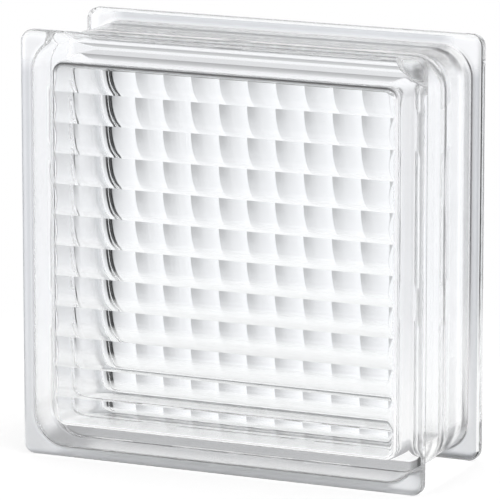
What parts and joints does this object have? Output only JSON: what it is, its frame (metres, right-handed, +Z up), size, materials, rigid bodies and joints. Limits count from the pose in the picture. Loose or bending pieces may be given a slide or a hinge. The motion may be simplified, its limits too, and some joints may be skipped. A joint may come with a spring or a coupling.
{
  "type": "glass block",
  "caption": "Hollow square glass wall block with a mortar channel round its edge and crossed flutes inside its faces, for walls that let light through.",
  "frame": {"origin": "centre of the block's footprint on the floor, at mid-depth", "axes": "+Z up, front face with the level flutes towards -Y, +X to the right as seen from the front"},
  "size_m": [0.1968, 0.0794, 0.1969],
  "materials": {
    "clear_glass": "fire-polished clear"
  },
  "bodies": {
    "root": {"glass_block": "clear_glass"}
  },
  "joints": []
}
